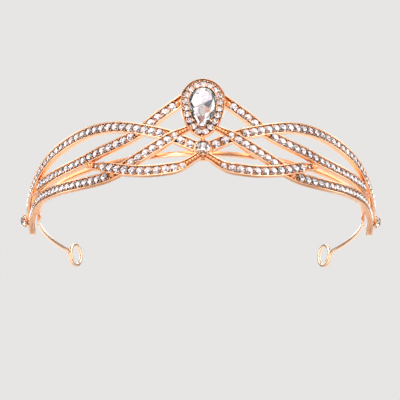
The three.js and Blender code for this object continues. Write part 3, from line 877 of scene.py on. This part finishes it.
END_CUP = [
    (1.5, -1.0), (1.9, -0.9), (2.3, -0.3), (2.5, 0.0), (2.56, 0.2), (2.52, 0.34), (2.42, 0.38), (2.3, 0.3),
    (2.2, 0.1),
]
end_seat = on_head(91, 71.05, 6.5)
end_axis = end_seat * [1, 1, 0] - [0, AXIS_Y, 0]
end_axis /= np.linalg.norm(end_axis)
end_up = np.array([0.0, 0.0, 1.0])
end_cup = join([turned(END_CUP, end_seat, end_axis), *cup_claws(8, 2.45, 0.7, end_seat, end_axis, 0.36)])
end_stone = placed(brilliant(2.6, crown=0.7, table=0.45, depth=0.15), end_seat + end_axis * 0.55,
                   np.cross(end_up, end_axis), end_up, end_axis)
for side in ("right", "left"):
    shapes = (end_cup, end_stone) if side == "right" else (mirrored(end_cup), mirrored(end_stone))
    piece(f"{side}_end_cup", shapes[0], [CAST_GOLD], "tiara", "cast_gold", [f"{side}_end_setting"])
    paint_facet_reflections(piece(f"{side}_end_crystal", shapes[1], [GLASS, FOIL], "tiara", "crystal",
                      [f"{side}_end_stone"], sharp=0), painted_reflection_spread)

# The neck is a short bar with a bead on it, between the pear cup and the centre cup.
neck = np.array([0.0, AXIS_Y - 70.0, 13.2 + BASE_Z])
axes = (np.array([1.0, 0, 0]), FRONT, np.array([0, 0, 1.0]))
bar = placed(skin([[(-0.7, -0.7, z), (0.7, -0.7, z), (0.8, 0, z), (0.7, 0.7, z), (-0.7, 0.7, z), (-0.8, 0, z)]
                   for z in (-1.2, 1.1)]), neck, *axes)
piece("neck_bead", join([bar, placed(ball(0.85, 0.9, 8, 16), neck + FRONT * 0.7, *axes)]), [CAST_GOLD],
      "tiara", "cast_gold", ["neck_link"])

# %% [markdown]
# ## Head wire and side wires
# The head wire is a flat drawn strip with soft corners and a fine rolled groove low on its front. The side wire
# starts beside it under the solder, swings out, and runs back to its hairpin loop, a flat spring of one and a
# third turns. It is the same strip, so the same section is swept along both.

# %% Strips
WIRE = {"front_z": 9.5, "fall": 0.0332, "end": 88.0}


def strip_section(tall, thick, groove=0.0):
    """Section of a flat strip: up and out, with soft corners and, if asked for, a groove on its front."""
    t, w, r = tall / 2, thick / 2, 0.2
    points = [(-t, -w + r), (-t + 0.06, -w + 0.06), (-t + r, -w), (t - r, -w), (t - 0.06, -w + 0.06), (t, -w + r),
              (t, w - r), (t - 0.06, w - 0.06), (t - r, w)]
    if groove:
        low_edge = -t + tall * 0.34
        points += [(low_edge + 0.16, w), (low_edge, w - groove), (low_edge - 0.16, w)]
    points += [(-t + r, w), (-t + 0.06, w - 0.06), (-t, w - r)]
    return np.array(points)


def strip(path, up, out, section):
    path, up, out = (np.asarray(v, float) for v in (path, up, out))
    rings = path[:, None] + up[:, None] * section[..., :1] + out[:, None] * section[..., 1:]
    return skin(rings)


def radial(points):
    out = points * [1, 1, 0] - [0, AXIS_Y, 0]
    return out / np.linalg.norm(out, axis=-1, keepdims=True)


def wire_path(degrees, radius, drop=0.0):
    z = WIRE["front_z"] - WIRE["fall"] * (HEAD_RADIUS - radius * np.cos(np.radians(degrees))) - drop
    return on_head(degrees, radius, z)


degrees = np.linspace(-WIRE["end"], WIRE["end"], 181)
path = wire_path(degrees, HEAD_RADIUS)
upward = np.tile([0.0, 0.0, 1.0], (len(path), 1))
piece("head_wire_strip", strip(path, upward, radial(path), strip_section(2.0, 1.2, 0.22)), [WIRE_GOLD],
      "tiara", "wire_gold", ["head_wire"])

ARM = {"radius": 66.5, "lap_radius": 65.9, "drop": 0.9, "lap_drop": 2.0, "tall": 1.4, "thick": 1.1, "loop_deg": 121.5}
LOOP = {"radius": 4.75, "inner": 3.5, "forward": 6.6, "height": 5.25, "tall": 1.0, "heading": 118.0}


def ease(value, low_end, high_end):
    t = np.clip((value - low_end) / (high_end - low_end), 0, 1)
    return t * t * (3 - 2 * t)


def side_wire():
    degrees = np.linspace(86, ARM["loop_deg"], 72)
    swing = ease(degrees, 88.4, 95)
    radius = ARM["lap_radius"] + (ARM["radius"] - ARM["lap_radius"]) * swing
    run = wire_path(degrees, radius, ARM["lap_drop"] + (ARM["drop"] - ARM["lap_drop"]) * swing)
    start = run[-1]
    heading = math.radians(LOOP["heading"])
    outward = np.array([math.sin(heading), -math.cos(heading), 0.0])
    along = np.array([math.cos(heading), math.sin(heading), 0.0])
    turns = np.arange(187.5, 607.6, 5)
    size = LOOP["radius"] + (LOOP["inner"] - LOOP["radius"]) * ease(turns, 400, 525)
    a = np.radians(turns)
    u = np.concatenate([[0.0, 0.9, 1.5], LOOP["forward"] + size * np.cos(a)])
    z = np.concatenate([start[2] + np.array([0, -0.05, -0.45]), LOOP["height"] + BASE_Z + size * np.sin(a)])
    flat = np.stack([u, z], 1)
    slope = np.gradient(flat, axis=0)
    slope[0] = (1, 0)
    slope /= np.linalg.norm(slope, axis=1, keepdims=True)
    loop = start * [1, 1, 0] + flat[:, :1] * along + flat[:, 1:] * np.array([0, 0, 1.0])
    loop_up = slope[:, :1] * np.array([0, 0, 1.0]) - slope[:, 1:] * along
    path = np.concatenate([run[:-1], loop])
    up = np.concatenate([np.tile([0, 0, 1.0], (len(run) - 1, 1)), loop_up])
    out = np.concatenate([radial(run[:-1]), np.tile(outward, (len(loop), 1))])
    tall = np.concatenate([np.full(len(run) - 1, ARM["tall"]),
                           ARM["tall"] + (LOOP["tall"] - ARM["tall"]) * ease(u, 0.5, 2.5)[:3],
                           np.full(len(turns), LOOP["tall"])])
    section = np.stack([strip_section(t, ARM["thick"]) for t in tall])
    return strip(path, up, out, section)


wire = side_wire()
piece("right_side_wire", wire, [WIRE_GOLD], "right_arm", "wire_gold", ["right_arm"])
piece("left_side_wire", mirrored(wire), [WIRE_GOLD], "left_arm", "wire_gold", ["left_arm"])


# %% [markdown]
# ## Solder
# The bands are held on the head wire by small puddles of solder. A puddle is a ball pulled out into a low,
# uneven cushion, so a few waves are added to it.

# %% Solder puddles
def puddle(degrees, z, radius, wide, deep, tall):
    points, faces, finishes = ball(1.0, 1.0, 12, 20)
    x, y, h = points.T
    wave = 1 + 0.06 * np.sin(5 * x + degrees) + 0.05 * np.cos(6 * y + 2 * h)
    squared = np.sign(points) * np.abs(points) ** 0.75 * wave[:, None]
    spot = on_head(degrees, radius, z)
    out = radial(spot)
    along = np.cross(np.array([0.0, 0, 1]), out)
    return placed((squared * [wide / 2, deep / 2, tall / 2], faces, finishes), spot, along, out, [0, 0, 1.0])


PUDDLES = {
    "inner_pad": (16.2, 9.55, 67.35, 2.6, 1.7, 1.5), "outer_pad": (37.4, 9.2, 67.35, 2.9, 1.7, 1.9),
    "end_pad": (84.4, 7.6, 67.45, 3.0, 1.8, 1.6), "lap_pad": (86.8, 6.2, 65.3, 1.8, 0.7, 1.1),
}
for name, numbers in PUDDLES.items():
    shape = puddle(*numbers)
    piece(f"right_{name}_solder", shape, [SOLDER], "tiara", "solder", [f"right_{name}"])
    piece(f"left_{name}_solder", mirrored(shape), [SOLDER], "tiara", "solder", [f"left_{name}"])
print("pieces made:", len(made))

# %% [markdown]
# ## Floor, light and camera
# The tiara stands on a plain pale floor under soft studio lights. It is seen from a little below its base, so
# the floor shows from above only: from underneath it lets the view through. Long soft boxes in front and above
# draw bright lines along the rims, and the dim gaps between them give the crystals something dark to show.

# %% Floor
def plane(name, size, z):
    mesh = bpy.data.meshes.new(name)
    mesh.from_pydata([(-size, -size, z), (size, -size, z), (size, size, z), (-size, size, z)], [], [(0, 1, 2, 3)])
    made_plane = bpy.data.objects.new(name, mesh)
    bpy.context.scene.collection.objects.link(made_plane)
    return made_plane


floor = plane("floor", 3.0, -0.0006)
paper = bpy.data.materials.new("pale paper")
paper.use_nodes = True
tree = paper.node_tree
surface = tree.nodes["Principled BSDF"]
surface.inputs["Roughness"].default_value = 0.9
fibre = node(tree, "ShaderNodeTexNoise", Scale=30.0, Detail=3.0)
pale = ramp(tree, [(0.3, (0.71, 0.70, 0.69, 1)), (0.7, (0.74, 0.73, 0.72, 1))])
clear = node(tree, "ShaderNodeBsdfTransparent")
choose = node(tree, "ShaderNodeMixShader")
behind = node(tree, "ShaderNodeNewGeometry")
wire_up(tree, [
    (fibre.outputs["Fac"], pale.inputs["Fac"]), (pale.outputs["Color"], surface.inputs["Base Color"]),
    (behind.outputs["Backfacing"], choose.inputs["Fac"]), (surface.outputs["BSDF"], choose.inputs[1]),
    (clear.outputs["BSDF"], choose.inputs[2]), (choose.outputs["Shader"], tree.nodes["Material Output"].inputs["Surface"]),
])
floor.data.materials.append(paper)

# %% World and lamps
world = bpy.data.worlds.new("studio")
bpy.context.scene.world = world
world.use_nodes = True
tree = world.node_tree
back = tree.nodes["Background"]
back.inputs["Color"].default_value = (0.80, 0.79, 0.78, 1)
dim = node(tree, "ShaderNodeBackground")
dim.inputs["Color"].default_value = (0.32, 0.31, 0.305, 1)
seen = node(tree, "ShaderNodeLightPath")
choose = node(tree, "ShaderNodeMixShader")
wire_up(tree, [
    (seen.outputs["Is Camera Ray"], choose.inputs["Fac"]), (dim.outputs["Background"], choose.inputs[1]),
    (back.outputs["Background"], choose.inputs[2]),
    (choose.outputs["Shader"], tree.nodes["World Output"].inputs["Surface"]),
])


def soft_box(name, place, size, power, aim=(0, -0.03, 0.015)):
    data = bpy.data.lights.new(name, "AREA")
    data.shape = "RECTANGLE"
    data.size, data.size_y = size
    data.energy = power
    lamp = bpy.data.objects.new(name, data)
    lamp.location = place
    lamp.rotation_mode = "QUATERNION"
    lamp.rotation_quaternion = (Vector(aim) - Vector(place)).to_track_quat("-Z", "Y")
    bpy.context.scene.collection.objects.link(lamp)


soft_box("front left", (-0.42, -1.05, 0.48), (1.0, 0.7), 6.0)
soft_box("front right", (0.80, -0.85, 0.45), (0.5, 0.8), 4.0)
soft_box("top", (0.0, -0.35, 1.2), (1.8, 1.2), 15.5)
soft_box("high front", (0.0, -0.95, 0.98), (1.5, 0.35), 2.6)
soft_box("left side", (-1.15, 0.15, 0.4), (0.5, 0.8), 4.2)
soft_box("right side", (1.15, 0.15, 0.4), (0.5, 0.8), 4.2)
soft_box("back", (0.0, 1.1, 0.78), (1.3, 0.75), 8.0)
soft_box("spark left", (-0.5, -0.8, 0.9), (0.08, 0.08), 1.2)
soft_box("spark right", (0.35, -0.9, 0.85), (0.06, 0.06), 0.9)

# %% Camera
aim = Vector((-1.0, -46.4, -6.8)) * MM
azimuth, rise, away = math.radians(0.565), math.radians(20.18), 650.2 * MM
toward = Vector((math.sin(azimuth) * math.cos(rise), math.cos(azimuth) * math.cos(rise), math.sin(rise)))
camera_data = bpy.data.cameras.new("camera")
camera_data.lens = 156.9
camera_data.sensor_width = 36.0
camera_data.clip_start, camera_data.clip_end = 0.01, 20.0
camera = bpy.data.objects.new("camera", camera_data)
camera.location = aim - toward * away
camera.rotation_mode = "QUATERNION"
camera.rotation_quaternion = toward.to_track_quat("-Z", "Y")
bpy.context.scene.collection.objects.link(camera)
bpy.context.scene.camera = camera
bpy.context.scene.view_settings.view_transform = "Standard"
